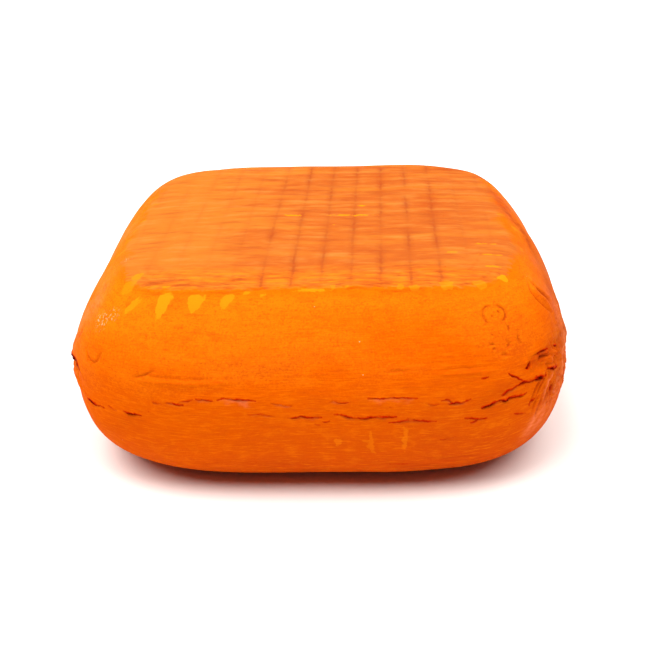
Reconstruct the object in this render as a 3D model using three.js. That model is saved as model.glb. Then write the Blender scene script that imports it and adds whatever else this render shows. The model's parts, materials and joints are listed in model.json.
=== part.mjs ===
// A whole square-pressed cheese: one solid, with a flat top and base, walls that swell to a
// belly below mid-height, and corners and edges rounded by the cloth that it was pressed in.
// Millimetres, +Z up. The origin is the centre of the base, on the surface that it rests on,
// and the front faces -Y.

import * as THREE from "three";

// Driving dimensions.
const LENGTH = 200; // left to right across the belly
const DEPTH = 198; // front to back across the belly
const HEIGHT = 80; // base to the middle of the top
const BELLY_HEIGHT = 43; // where the walls stand out furthest
const TOP_CROWN = 1; // how far the middle of the top stands above its edge
const TOP_INSET = 26; // from the belly in to the edge of the top
const BASE_INSET = 38; // from the belly in to the edge of the flat base

// Exponents of the wall's two curves: 1 is a straight slope, 2 a quarter of an ellipse, and
// above 2 it turns more sharply, at the belly's side and at the flat's.
const UPPER_CURVE = 1.45;
const LOWER_CURVE = 2.75;

// Exponents of the outline seen from above: 2 is an ellipse, and a larger one is squarer.
const BASE_SQUARENESS = 4.1;
const BELLY_SQUARENESS = 3.8;
const TOP_SQUARENESS = 5.3;

// How finely the surface is faceted.
const STEPS_AROUND = 128;
const STEPS_PER_CURVE = 9;
const STEPS_ACROSS_TOP = 5;

const RIND_COLOUR = 0xf77a12;

// One quarter of a superellipse, from (1, 0) to (0, 1), as evenly turned steps.
function quarterCurve(exponent, steps) {
  return Array.from({ length: steps + 1 }, (_, i) => {
    const angle = ((i / steps) * Math.PI) / 2;
    const [across, up] = [Math.cos(angle), Math.sin(angle)];
    const reach = (across ** exponent + up ** exponent) ** (-1 / exponent);
    return [reach * across, reach * up];
  });
}

// The cheese's section through the middle of a side: [distance from the axis, height], from
// the middle of the base, out round the belly, to the middle of the top.
function section() {
  const bellyRadius = LENGTH / 2;
  const topRadius = bellyRadius - TOP_INSET;
  const edgeHeight = HEIGHT - TOP_CROWN;
  const lower = quarterCurve(LOWER_CURVE, STEPS_PER_CURVE)
    .map(([across, down]) => [
      bellyRadius - BASE_INSET * (1 - across),
      BELLY_HEIGHT * (1 - down),
    ])
    .reverse();
  const upper = quarterCurve(UPPER_CURVE, STEPS_PER_CURVE).map(([across, up]) => [
    bellyRadius - TOP_INSET * (1 - across),
    BELLY_HEIGHT + (edgeHeight - BELLY_HEIGHT) * up,
  ]);
  const top = Array.from({ length: STEPS_ACROSS_TOP }, (_, i) => {
    const share = 1 - (i + 1) / STEPS_ACROSS_TOP;
    return [topRadius * share, HEIGHT - TOP_CROWN * share ** 2];
  });
  return [[0, 0], ...lower, ...upper.slice(1), ...top];
}

// The outline's squareness at a height: the belly's, passing to the top's or the base's.
function squarenessAt(height) {
  const above = height > BELLY_HEIGHT;
  const span = above ? HEIGHT - BELLY_HEIGHT : BELLY_HEIGHT;
  const end = above ? TOP_SQUARENESS : BASE_SQUARENESS;
  const share = Math.abs(height - BELLY_HEIGHT) / span;
  return BELLY_SQUARENESS + (end - BELLY_SQUARENESS) * share;
}

// Squares a round outline: moves each point along its own radius, from the circle to the
// superellipse of the same half-width.
function squareOutline(geometry) {
  const place = geometry.getAttribute("position");
  for (let i = 0; i < place.count; i++) {
    const [x, y, height] = [place.getX(i), place.getY(i), place.getZ(i)];
    const radius = Math.hypot(x, y);
    if (radius > 0) {
      const exponent = squarenessAt(height);
      const [across, along] = [Math.abs(x) / radius, Math.abs(y) / radius];
      const reach = (across ** exponent + along ** exponent) ** (-1 / exponent);
      place.setXY(i, x * reach, y * reach * (DEPTH / LENGTH));
    }
  }
  return geometry;
}

function cheese() {
  const profile = section().map(([radius, height]) => new THREE.Vector2(radius, height));
  const geometry = new THREE.LatheGeometry(profile, STEPS_AROUND);
  geometry.rotateX(Math.PI / 2); // the lathe turns about Y, and the cheese stands along Z
  squareOutline(geometry);
  geometry.computeVertexNormals();
  const rind = new THREE.MeshStandardMaterial({
    color: RIND_COLOUR,
    roughness: 0.45,
    metalness: 0,
  });
  const mesh = new THREE.Mesh(geometry, rind);
  mesh.name = "cheese";
  return mesh;
}

const part = new THREE.Group();
part.add(cheese());

export default part;
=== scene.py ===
import json
import math
import random
from typing import NamedTuple

import bpy
import numpy as np
from bpy.props import FloatProperty, FloatVectorProperty, PointerProperty
from mathutils import Matrix, Vector, noise
from mathutils.bvhtree import BVHTree
from mathutils.kdtree import KDTree

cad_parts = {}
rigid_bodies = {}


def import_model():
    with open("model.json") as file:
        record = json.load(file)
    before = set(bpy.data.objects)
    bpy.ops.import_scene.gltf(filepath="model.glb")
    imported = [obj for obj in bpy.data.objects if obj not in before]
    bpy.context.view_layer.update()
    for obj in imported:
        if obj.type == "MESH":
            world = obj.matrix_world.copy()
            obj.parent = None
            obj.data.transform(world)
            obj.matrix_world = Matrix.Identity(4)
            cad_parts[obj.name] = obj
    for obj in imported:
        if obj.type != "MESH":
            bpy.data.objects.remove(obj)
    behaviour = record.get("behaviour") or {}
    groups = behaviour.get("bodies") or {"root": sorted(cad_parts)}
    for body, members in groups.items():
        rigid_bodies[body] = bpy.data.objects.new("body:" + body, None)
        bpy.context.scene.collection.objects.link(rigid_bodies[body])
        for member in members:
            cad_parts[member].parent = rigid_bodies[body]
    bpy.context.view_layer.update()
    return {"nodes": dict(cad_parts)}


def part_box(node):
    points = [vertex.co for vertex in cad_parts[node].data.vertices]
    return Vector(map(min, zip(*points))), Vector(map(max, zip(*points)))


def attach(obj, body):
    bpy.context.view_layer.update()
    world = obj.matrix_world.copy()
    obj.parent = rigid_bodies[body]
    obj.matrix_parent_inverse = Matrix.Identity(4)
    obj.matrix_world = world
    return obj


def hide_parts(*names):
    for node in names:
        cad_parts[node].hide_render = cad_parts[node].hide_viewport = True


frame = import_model()

bl_info = {
    "name": "Square-pressed cheese",
    "version": (1, 0, 0),
    "blender": (4, 5, 0),
    "location": "3D View > Sidebar > Cheese",
    "description": "Makes a whole pressed cheese with an oiled, orange-rubbed rind, and its stage",
    "category": "Add Mesh",
}

MM = 0.001
NODE = "cheese"

# How the block is meshed: in squares, of which those near a mark are halved, once for each reach
# that they are within, so that the marks are drawn finely and the rest stays light.
SQUARE = 2.5 * MM
FRONT_REACHES = (3.6, 1.8, 0.9)  # mm, for the marks of the front wall
OTHER_REACHES = (3.0, 1.5)  # mm, for those of the other walls
SHARP_EDGE = math.radians(55)
MM_PER_DEGREE = 1.9  # along a wall, on average

# The plate is the flat that lay on the ripening rack: its outline's half-width, and how square
# that is, as the exponent of a superellipse.
PLATE_HALF = 74.5
PLATE_SQUARENESS = 7
PLATE_LOWEST = 70.0  # mm above the base, under which nothing belongs to the plate

# The rack's wires run front to back and, more faintly, across, all turned by a slight slope.
RACK_OFFSET = (3.6, 6.8)  # mm, where one wire each way passes the middle
RACK_SLOPE = 0.021
PLAIN_WIRES = (-2, 4)  # the first and the last that marked the plate plainly
SCORE_HALF_WIDTH = 0.8  # mm


class Crack(NamedTuple):
    """A split in the wall: its upper lip hangs over a gap laid dark as painted shade, and a torn
    slope lies below.
    """

    route: tuple  # (bearing in degrees from the front, height in mm), by growing bearing
    gap: float  # mm, at its widest
    slope: float  # mm from the gap down to the sound rind
    dark: float  # painted shade in the gap, from 0, the colour of the rind, to 1, nearly black; it also deepens the gap


class Fold(NamedTuple):
    """A soft groove, or a ridge where its depth is negative, or a smear where it is 0."""

    route: tuple  # as a crack's, in either direction, or (x, y) in mm on the top
    width: float  # mm
    depth: float  # mm
    stain: float = 0.0  # how dark it is laid, from 0 to 1: oil, and in a groove partly painted shade; or how pale, down to -1: painted sheen and highlights
    on_top: bool = False


class Crumple(NamedTuple):
    """A part of a corner that the gathered cloth wrinkled all over."""

    bearing: float
    height: float  # mm
    half_angle: float  # degrees
    half_height: float  # mm
    depth: float  # mm


class Swell(NamedTuple):
    """A part of the wall that stands out from the even form, or in where its rise is negative."""

    bearing: float
    height: float  # mm
    reach: float  # mm
    rise: float  # mm


class Patch(NamedTuple):
    """A pale spot that the oil didn't reach, where the cheese lay against its rack."""

    spot: tuple  # (bearing, height), or (x, y) in mm on the top
    half_width: float  # mm
    half_length: float  # mm, down the slope, or front to back on the top
    lean: float = 0.0  # how far its foot stands to the left, as a share of its length
    taper: float = 0.0  # how much wider its head is than its middle
    tone: float = 1.0  # how plain it is to see
    on_top: bool = False


# The front wall's cracks, mostly from left to right: the left corner's, and two broken rows along
# the belly that climb into the right corner. The last two lie near the foot.
FRONT_CRACKS = (
    Crack(
        ((-60, 45.5), (-56.2, 46.2), (-53.6, 46.5), (-52.0, 45.7), (-50.9, 44.5), (-49.9, 43.2)),
        2.6, 1.4, 1.0,
    ),
    Crack(((-52.2, 41.5), (-51.2, 39.0), (-50.3, 37.3), (-47.9, 36.1)), 0.7, 0.9, 0.5),
    Crack(((-48.8, 34.4), (-47.4, 35.3), (-46.0, 34.9), (-44.2, 35.3), (-42.4, 35.2)), 1.6, 1.0, 1.0),
    Crack(((-41.6, 37.3), (-40.6, 36.4), (-39.3, 36.2)), 0.5, 0.6, 0.6),
    Crack(((-38.3, 36.8), (-37.1, 36.5), (-35.8, 36.6), (-34.0, 36.2)), 1.2, 0.9, 1.0),
    Crack(((-31.8, 43.4), (-30.9, 42.4), (-29.9, 42.5)), 0.6, 0.7, 0.5),
    Crack(((-29.6, 42.7), (-28.2, 43.3), (-27.1, 42.8), (-25.7, 42.1)), 0.7, 0.8, 0.6),
    Crack(((-27.1, 43.5), (-25.6, 44.2), (-24.0, 45.0)), 0.4, 0.5, 0.35),
    Crack(((-24.0, 45.2), (-22.2, 45.1), (-20.2, 44.5)), 0.45, 0.8, 0.4),
    Crack(((-20.0, 44.6), (-18.6, 45.5), (-16.4, 45.5), (-14.4, 45.2), (-11.6, 44.6)), 0.6, 2.6, 0.6),
    Crack(((-14.2, 39.1), (-12.0, 39.3), (-10.1, 38.8), (-8.0, 38.7)), 0.4, 0.5, 0.4),
    Crack(((-9.4, 44.1), (-7.2, 43.5), (-4.4, 42.8)), 0.6, 0.9, 0.22),
    Crack(((-6.1, 37.8), (-4.2, 38.2), (-2.9, 38.7), (-1.4, 38.0), (1.8, 38.1)), 0.7, 0.8, 0.6),
    Crack(((-0.4, 35.3), (1.2, 34.4)), 0.5, 0.4, 0.4),
    Crack(((1.4, 36.2), (3.2, 36.4)), 0.5, 0.4, 0.35),
    Crack(((2.8, 43.8), (3.6, 44.4), (5.2, 44.2), (7.2, 44.1)), 0.6, 0.9, 0.3),
    Crack(
        ((3.4, 39.6), (5.5, 38.9), (7.8, 38.0), (10.2, 37.7), (12.2, 38.3), (17.0, 38.0)),
        0.9, 1.0, 0.7,
    ),
    Crack(((10.4, 45.7), (13.0, 45.4), (15.2, 45.7), (19.3, 45.3), (20.9, 45.4)), 0.55, 1.6, 0.45),
    Crack(
        ((14.5, 35.6), (16.7, 35.8), (19.0, 36.3), (20.7, 36.2), (22.4, 35.6), (24.4, 35.5)),
        0.55, 0.7, 0.5,
    ),
    Crack(((18.2, 37.2), (20.8, 36.9)), 0.4, 0.4, 0.3),
    Crack(((22.1, 42.9), (23.4, 42.4), (24.6, 42.7)), 0.5, 0.5, 0.25),
    Crack(((24.6, 44.0), (26.2, 43.8), (27.2, 42.7)), 0.6, 0.8, 0.4),
    Crack(((25.8, 42.3), (27.2, 42.8), (28.6, 42.6), (30.4, 43.9)), 0.8, 1.0, 0.65),
    Crack(((28.9, 36.2), (30.3, 35.8), (32.0, 35.1), (33.6, 35.0)), 0.6, 0.6, 0.6),
    Crack(((30.1, 33.7), (31.6, 34.6)), 0.5, 0.5, 0.45),
    Crack(((32.2, 50.6), (33.9, 50.7)), 0.6, 0.5, 0.5),
    Crack(((31.8, 39.5), (33.2, 39.9), (34.4, 40.8), (35.8, 41.6), (37.7, 41.6)), 1.2, 0.9, 1.0),
    Crack(((35.6, 41.7), (37.7, 41.6), (40.3, 41.3), (41.4, 41.8)), 1.2, 1.0, 0.95),
    Crack(((36.0, 40.7), (37.2, 41.2)), 0.6, 0.5, 0.7),
    Crack(((35.6, 43.2), (37.3, 44.6), (39.6, 46.2)), 0.9, 0.9, 0.7),
    Crack(((38.6, 45.5), (40.2, 46.4), (41.9, 46.3), (44.5, 45.8), (46.6, 44.6)), 2.3, 1.3, 1.0),
    Crack(((37.4, 51.2), (38.6, 49.4), (40.1, 47.2)), 0.6, 0.6, 0.6),
    Crack(((38.4, 34.1), (39.8, 33.7), (41.6, 32.9)), 0.5, 0.5, 0.5),
    Crack(((41.8, 35.1), (42.3, 37.0), (43.6, 37.8)), 0.8, 0.6, 0.85),
    Crack(((46.3, 47.4), (48.5, 46.4), (51.5, 44.0)), 1.4, 0.9, 1.0),
    Crack(((41.0, 50.8), (41.8, 51.8), (42.4, 53.0)), 1.5, 0.6, 1.0),
    Crack(((44.6, 54.0), (46.2, 54.6), (48.0, 54.0)), 0.8, 0.6, 0.75),
    Crack(((44.6, 41.6), (45.2, 44.0), (46.4, 46.3)), 0.8, 0.5, 0.7),
    Crack(((47.9, 33.5), (48.4, 39.2), (50.0, 41.6)), 0.7, 0.5, 0.6),
    Crack(((49.4, 31.5), (50.6, 35.0), (52.4, 38.5)), 0.6, 0.5, 0.5),
    Crack(((50.2, 53.2), (51.6, 52.2), (53.0, 51.0)), 0.9, 0.6, 0.8),
    Crack(((15.8, 14.9), (17.7, 14.8), (20.1, 14.3)), 0.5, 0.4, 0.5),
    Crack(((24.9, 26.7), (26.7, 27.4), (28.1, 28.1)), 0.4, 0.4, 0.3),
)

# Folds and dents that the cloth pressed into the front wall and its two corners.
FRONT_FOLDS = (
    Fold(((-56.0, 43.6), (-54.4, 44.6), (-52.8, 44.8), (-51.2, 44.2)), 3.4, 1.2, 0.8),
    Fold(((-54.5, 40.5), (-51.5, 38.0), (-49.0, 36.0)), 1.6, 0.8, 0.5),
    Fold(
        ((-48.4, 55.0), (-47.2, 52.8), (-45.6, 52.0), (-44.4, 52.8), (-43.8, 55.0), (-43.3, 57.2)),
        1.3, 0.6, 0.4,
    ),
    Fold(((-35.8, 50.8), (-33.4, 52.6), (-31.7, 54.4)), 0.9, 0.3, 0.4),
    Fold(((-35.6, 50.2), (-30.9, 50.6), (-23.0, 50.8), (-17.0, 51.4)), 2.4, -0.45),
    Fold(((-36.0, 51.8), (-30.4, 52.0), (-26.7, 51.8), (-17.3, 52.3)), 1.4, 0.35, 0.14),
    Fold(((15.5, 54.6), (19.6, 54.5)), 1.0, 0.25, 0.2),
    Fold(((25.0, 54.7), (29.6, 54.4), (34.2, 54.3)), 1.2, 0.25, 0.15),
    Fold(((24.0, 53.2), (29.6, 53.0), (35.2, 52.7)), 2.2, -0.3),
    Fold(((36.6, 67.2), (36.2, 69.0), (36.7, 70.9), (37.6, 72.0), (38.9, 72.1)), 0.9, 0.5, 0.9),
    Fold(((39.6, 72.0), (40.7, 71.3), (41.0, 70.0), (40.5, 68.4), (39.3, 67.2)), 1.0, 0.5, 1.0),
    Fold(((39.6, 70.8), (39.7, 69.6)), 0.7, 0.3, 0.7),
    Fold(((37.8, 69.5), (38.1, 69.2)), 0.9, 0.4, 0.9),
    Fold(((36.4, 63.9), (36.6, 64.3)), 0.9, 0.4, 0.8),
    Fold(((35.4, 61.3), (36.4, 61.1)), 0.9, 0.4, 0.7),
    Fold(((35.6, 59.7), (36.3, 59.8)), 0.8, 0.3, 0.6),
    Fold(((40.3, 66.2), (40.0, 64.2)), 1.0, 0.3, 0.6),
    Fold(((41.8, 63.2), (41.3, 60.8), (41.6, 59.0)), 1.2, 0.5, 0.6),
    Fold(((38.8, 62.0), (39.2, 60.6), (38.5, 59.6)), 1.3, 0.5, 0.65),
    Fold(((36.8, 57.4), (38.2, 57.2)), 1.3, 0.5, 0.3),
    Fold(((53.9, 73.7), (55.0, 69.7), (57.2, 64.7), (57.0, 60.0), (55.0, 56.0)), 1.3, 1.1, 1.0),
    Fold(((53.2, 73.4), (51.4, 70.7), (52.5, 66.5), (54.8, 62.0)), 1.0, 0.6, 0.8),
    Fold(((53.9, 72.3), (53.2, 69.3), (54.8, 65.2), (56.0, 61.0)), 2.2, -0.9),
    Fold(((41.0, 51.0), (41.9, 52.0), (42.4, 53.2)), 1.4, 1.0, 0.8),
    Fold(((42.9, 53.6), (44.8, 54.4), (47.0, 54.0)), 1.0, 0.7, 0.6),
    Fold(((44.0, 51.8), (46.0, 52.4), (48.2, 51.6)), 0.9, 0.6, 0.5),
    Fold(((50.4, 52.4), (51.3, 50.3), (49.6, 49.3)), 1.3, 0.9, 0.7),
    # The right corner's creases are laid dark, partly as painted shade, and the ridges between them
    # pale, as painted highlights.
    Fold(((46.4, 46.3), (44.7, 42.2), (43.4, 37.2)), 0.9, 0.9, 0.9),
    Fold(((48.6, 44.5), (46.6, 40.5), (45.6, 34.0)), 1.1, -0.6, -0.8),
    Fold(((50.9, 42.6), (48.4, 39.2), (47.6, 31.4)), 1.0, 1.0, 0.8),
    Fold(((52.6, 41.0), (50.0, 36.5), (49.4, 29.0)), 1.1, -0.6, -0.8),
    Fold(((49.0, 30.0), (50.6, 35.0), (53.2, 40.0)), 1.0, 0.9, 0.7),
    Fold(((54.8, 39.0), (52.0, 33.0), (50.6, 27.0)), 0.9, -0.4, -0.8),
    Fold(((51.0, 25.0), (53.0, 31.0), (56.5, 37.0)), 1.0, 0.7, 0.6),
    # Painted highlight: a pale ridge along the right corner's edge.
    Fold(((57.8, 66.0), (59.2, 60.0), (58.4, 54.0)), 1.5, -0.5, -0.8),
)

# Brown smears of oil, on the top's back right, down the right shoulder and along the foot, and the
# pale stretches of the two corners, which are painted sheen.
SMEARS = (
    Fold(((46.5, -3), (46.5, 11), (48.5, 27), (57, 31), (67, 38)), 9, 0, 0.28, True),
    Fold(((26, 24), (26.5, 42), (28, 66)), 9, 0, 0.26, True),
    Fold(((14.5, 34), (15, 64)), 6, 0, 0.16, True),
    Fold(((44, 66), (56, 62), (64, 54)), 14, 0, 0.24, True),
    Fold(((-20, 2), (-17, -3)), 6, 0, 0.2, True),
    Fold(((-50, 18), (-30, 16), (-12, 24)), 7, 0, 0.14, True),
    Fold(
        ((118.0, 76.0), (109.2, 75.6), (95.7, 75.4), (88.1, 72.4), (78.5, 69.5), (71.0, 67.0)),
        8.5, 0, 0.8,
    ),
    Fold(((72.2, 63.0), (62.0, 63.0), (57.5, 58.4), (55.5, 52.2)), 5, 0, 0.55),
    # Painted sheen: pale stretches down the right corner.
    Fold(((48.0, 36.0), (46.9, 31.6), (44.3, 27.2), (43.0, 19.0)), 6, 0, -0.75),
    Fold(((47.0, 30.0), (46.2, 25.3), (44.4, 19.8)), 4, 0, -0.7),
    Fold(
        ((56.0, 73.0), (59.0, 64.0), (58.0, 52.0), (55.0, 40.0), (51.0, 28.0), (47.0, 18.0)),
        11, 0, -0.55,
    ),
    # Painted sheen down the left corner.
    Fold(((-58.0, 76.0), (-54.0, 68.0), (-57.0, 58.0), (-54.0, 44.0)), 11, 0, -0.45),
    Fold(((41.6, 51.2), (43.5, 52.8), (46.5, 53.6), (50.5, 53.4)), 4.5, 0, 0.85),
    Fold(((50.0, 49.0), (54.0, 50.0), (58.0, 52.0)), 5, 0, 0.6),
    Fold(((78.0, 76.0), (70.0, 73.5), (64.0, 70.0)), 6, 0, 0.22),
    Fold(((-46.0, 24.0), (-38.0, 31.0), (-33.0, 34.0)), 5, 0, 0.2),
    Fold(((30.0, 39.5), (36.0, 44.5), (40.5, 50.0)), 6.5, 0, 0.3),
    Fold(((-40, 13.0), (-20, 15.0), (0, 15.5), (20, 14.0)), 5, 0, 0.14),
)

FRONT_CRUMPLES = (
    Crumple(60, 43, 19, 21, 1.0),
    Crumple(47.5, 51, 8, 5, 1.1),
)

# The right shoulder is fuller than the left one, and the lips of the left corner stand out.
SWELLS = (
    Swell(88, 70, 24, 1.5),
    Swell(-78, 62, 34, -0.8),
    Swell(-57, 47, 6, 1.2),
    Swell(-56, 40, 6, 0.6),
    Swell(-38, 7, 18, -1.0),
)

FRONT_PATCHES = (
    Patch((-41.3, 72.2), 1.4, 3.8, 0.45, 0.35, 0.8),
    Patch((-34.9, 74.0), 2.3, 5.4, 0.14, 0.4),
    Patch((-28.4, 74.7), 2.6, 4.0, 0.2, 0.5, 0.9),
    Patch((-21.9, 75.2), 1.9, 3.4, 0.35, 0.45, 0.8),
    Patch((-13.6, 76.1), 0.8, 2.0, 0.3, 0.2, 0.8),
    Patch((5.2, 78.3), 0.8, 1.4, 0.0, 0.0, 0.45),
    Patch((8.8, 78.3), 0.8, 1.4, 0.0, 0.0, 0.45),
    Patch((22.9, 78.3), 1.4, 1.8, 0.0, 0.0, 0.5),
    Patch((25.9, 78.1), 1.8, 1.9, 0.0, 0.0, 0.5),
    Patch((33.3, 78.2), 2.4, 2.6, 0.0, 0.2, 0.55),
    Patch((40.3, 77.6), 2.2, 2.4, 0.0, 0.2, 0.5),
    Patch((46.8, 77.3), 1.7, 2.0, 0.0, 0.3, 1.3),
    Patch((4.7, 27.1), 1.7, 1.9, 0.0, 0.0, 0.35),
    Patch((11.8, 26.4), 0.9, 6.2, -0.12, -0.2, 0.3),
    Patch((10.2, 26.9), 1.3, 1.0, 0.0, 0.0, 0.3),
    Patch((18.2, 27.2), 1.1, 5.4, 0.05, 0.0, 0.35),
)

# Yellow flecks and dashes on the top, most of them along the plate's front edge.
TOP_FLECKS = (
    Patch((-12, -1.0), 4.2, 0.8, 0.0, 0.0, 1.0, True),
    Patch((13, -0.6), 8.5, 0.75, 0.0, 0.0, 0.95, True),
    Patch((17.5, 11.3), 1.8, 0.9, 0.0, 0.0, 0.9, True),
    Patch((6.1, -12.3), 0.8, 0.6, 0.0, 0.0, 0.8, True),
    Patch((66, -34.6), 4.2, 0.6, 0.0, 0.0, 0.8, True),
    Patch((67.6, -46.2), 4.4, 0.6, 0.0, 0.0, 0.7, True),
    Patch((67, -57.1), 3.0, 0.7, 0.0, 0.0, 0.8, True),
    Patch((52.6, -44.4), 2.0, 1.2, 0.0, 0.0, 0.45, True),
    Patch((-1.2, -75.8), 5.5, 0.8, 0.0, 0.0, 0.8, True),
    Patch((-24.4, -76.4), 1.2, 0.8, 0.0, 0.0, 0.7, True),
    Patch((-54.6, -71.3), 1.6, 0.7, 0.0, 0.0, 0.7, True),
    Patch((-67.2, -61.5), 1.8, 2.6, 0.3, 0.0, 0.6, True),
    Patch((-69.6, -67.5), 2.6, 3.4, 0.3, 0.0, 0.5, True),
)

# The torn ridges along the plate's front edge: how far outside the edge each lies, and how high
# it stands, both in mm.
FRONT_RIDGES = ((0.2, 0.35), (-2.6, 0.22), (-4.6, 0.25), (-8, 0.2), (-12, 0.2))

# White specks on the left shoulder: the middle and the reach in mm of each cloud of them.
BLOOM_CLOUDS = (((-47.0, 66.0), 5.5), ((-44.5, 69.0), 3.5), ((-60.0, 78.0), 3.0))

# The marks that are drawn by chance: the other walls' middles and the other corners, as bearings.
CHANCE_SEED = 19
OTHER_WALLS = (97, 180, 263)
OTHER_CORNERS = (135, 225, 300)
CRACK_ROWS = ((44.5, 1.2, 0.9), (37.8, 1.4, 1.1))  # mm: height, spread, and widest gap
ROW_SWAY = 2.2  # mm, how far a row climbs and sinks
FOLDS_AT_A_CORNER = 7
CREASES = 12
SPOT_STEP = 7.0  # degrees, about the rack's pitch under the top's edge


def linear(hex_colour):
    """An sRGB hex colour as the linear RGBA that Blender's sockets and properties take."""
    shares = [int(hex_colour[i:i + 2], 16) / 255 for i in (1, 3, 5)]
    return tuple(
        share / 12.92 if share <= 0.04045 else ((share + 0.055) / 1.055) ** 2.4 for share in shares
    ) + (1.0,)


def rounded_step(low, high, values):
    """0 on low's side, 1 on high's, and a smooth step between."""
    share = np.clip((values - low) / (high - low), 0, 1)
    return share * share * (3 - 2 * share)


def bell(off, half_width):
    """1 where off is 0, and smoothly down on both sides, to about a third at the half-width."""
    return np.exp(-((off / half_width) ** 2))


def lumps(places, sizes, seed):
    """Smooth noise, mostly from -0.5 to 0.5, whose lumps have those sizes in mm."""
    sites = np.asarray(places, float) / sizes + seed
    return np.array([noise.noise(Vector(site)) for site in sites])


def plate_distance(places):
    """How far each place stands outside the plate's outline, in mm, negative inside it."""
    across, along = np.abs(places[:, :2].T) / PLATE_HALF
    reach = (across**PLATE_SQUARENESS + along**PLATE_SQUARENESS) ** (1 / PLATE_SQUARENESS)
    return (reach - 1) * PLATE_HALF


# ---------------------------------------------------------------------------------------------
# What a user would change


def colour_property(name, description, hex_colour):
    return FloatVectorProperty(
        name=name, description=description, subtype="COLOR", size=4,
        default=linear(hex_colour), min=0, max=1,
    )


class CheeseForm(bpy.types.PropertyGroup):
    swell: FloatProperty(
        name="Unevenness",
        description="How far the hand-pressed walls wander from the even form",
        default=0.6 * MM, min=0.0, max=2 * MM, unit="LENGTH", precision=4,
    )
    crack_depth: FloatProperty(
        name="Crack depth",
        description="Depth of a belly crack for each unit of its opening",
        default=1.3, min=0.0, max=4.0, subtype="FACTOR",
    )
    rack_pitch: FloatProperty(
        name="Rack pitch",
        description="Distance between the wires of the ripening rack, which marked the top",
        default=11.05 * MM, min=4 * MM, max=40 * MM, unit="LENGTH", precision=4,
    )
    rack_depth: FloatProperty(
        name="Rack mark depth",
        description="How deep the rack's wires pressed in",
        default=0.3 * MM, min=0.0, max=1 * MM, unit="LENGTH", precision=4,
    )


class RindColours(bpy.types.PropertyGroup):
    wall: colour_property("Wall", "The rubbed, oiled wall at the belly", "#D55700")
    # Lighter and yellower than the belly, partly as painted light from above; its touch of blue is a
    # painted sheen.
    shoulder: colour_property("Shoulder", "The yellower rind above the belly", "#E67208")
    # Redder and darker than the belly, partly as painted shade towards the floor; its touch of blue
    # is painted light bounced from the floor.
    foot: colour_property("Foot", "The redder rind below the belly", "#C64A08")
    # Painted sheen: the top's pinkish tint stands in for the pale glare of its satin rind.
    top_with_painted_sheen: colour_property("Rosy top", "The top where the rack dulled it", "#B6581E")
    amber: colour_property("Amber top", "The top where the oil still shows", "#C26A22")
    # Besides the rack's pale cross scores, this colour lays painted highlights on the top's streaks
    # and threads.
    dry: colour_property("Dry top", "The pale threads on the top that the oil missed", "#C47832")
    # Besides the rack's stain, this colour lays painted shade in the top's streaks and threads and
    # along its front edge.
    wire: colour_property("Rack stain", "The brown that the rack's wires left", "#9A3E1A")
    # Besides oil, this colour lays painted shade in grooves, creases and beside the plate's front
    # ridges.
    smear: colour_property("Dark oil", "Old oil, dried in dents", "#A02C08")
    # Painted shade: the right wall is laid in this darker, browner colour.
    right_side_shade: colour_property("Handled side", "The duller rind of the side it is held by", "#9E4A1A")
    # Besides the bare spots, this colour lays painted highlights on fine ridges along the top's front
    # edge.
    bare: colour_property("Bare spots", "Spots that the oil didn't reach", "#EC840C")
    # Painted shade: the red laid in a crack's gap; the same colour marks the small pits.
    gap_shade_and_pits: colour_property("Tears", "The red inside a shallow crack", "#B81C00")
    # Painted shade: the near-black laid in the gap of the darkest cracks.
    crack: colour_property("Cracks", "The bottom of a deep crack", "#4C0800")
    # Besides the torn slopes, this colour lays painted sheen on the corners and painted highlights on
    # ridges.
    torn: colour_property("Torn rind", "The pale slope under a crack", "#E87E50")
    bloom: colour_property("Bloom", "White specks of dry mould and salt", "#FFD9A8")


class StageSettings(bpy.types.PropertyGroup):
    lens: FloatProperty(
        name="Lens", description="Focal length of the camera's lens", default=57.36,
        min=20, max=200, unit="CAMERA",
    )
    sky: FloatProperty(
        name="Room", description="Brightness of the room in front", default=0.05, min=0, max=5,
    )
    sweep: FloatProperty(
        name="Sweep", description="Brightness of the white paper behind", default=0.6, min=0, max=5,
    )
    box_power: FloatProperty(
        name="Soft boxes", description="Mean strength of the two soft boxes above", default=3.15,
        min=0, max=50,
    )
    softness: FloatProperty(
        name="Softness", description="How wide a soft box looks from the cheese",
        default=math.radians(50), min=0, max=math.pi, subtype="ANGLE",
    )


# ---------------------------------------------------------------------------------------------
# Mesh work by hand


def deselect_all():
    for thing in bpy.context.view_layer.objects:
        thing.select_set(False)


def make_active(thing):
    deselect_all()
    thing.hide_set(False)
    thing.select_set(True)
    bpy.context.view_layer.objects.active = thing


def apply_modifier(thing, kind, **settings):
    make_active(thing)
    modifier = thing.modifiers.new(kind.title(), kind)
    for name, value in settings.items():
        setattr(modifier, name, value)
    bpy.ops.object.modifier_apply(modifier=modifier.name)


def read_vectors(items, name):
    values = np.empty(len(items) * 3, np.float32)
    items.foreach_get(name, values)
    return values.reshape(-1, 3).astype(float)


def smooth_guide(node):
    """A merged and subdivided copy of the CAD solid, whose facets have become one round skin."""
    guide = node.copy()
    guide.data = node.data.copy()
    guide.name = "guide"
    guide.parent = None
    bpy.context.scene.collection.objects.link(guide)
    guide.hide_viewport = False
    make_active(guide)
    bpy.ops.object.mode_set(mode="EDIT")
    bpy.ops.mesh.select_all(action="SELECT")
    bpy.ops.mesh.remove_doubles(threshold=0.01 * MM)
    bpy.ops.mesh.tris_convert_to_quads()
    bpy.ops.object.mode_set(mode="OBJECT")
    apply_modifier(guide, "SUBSURF", levels=2, render_levels=2)
    return guide


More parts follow.
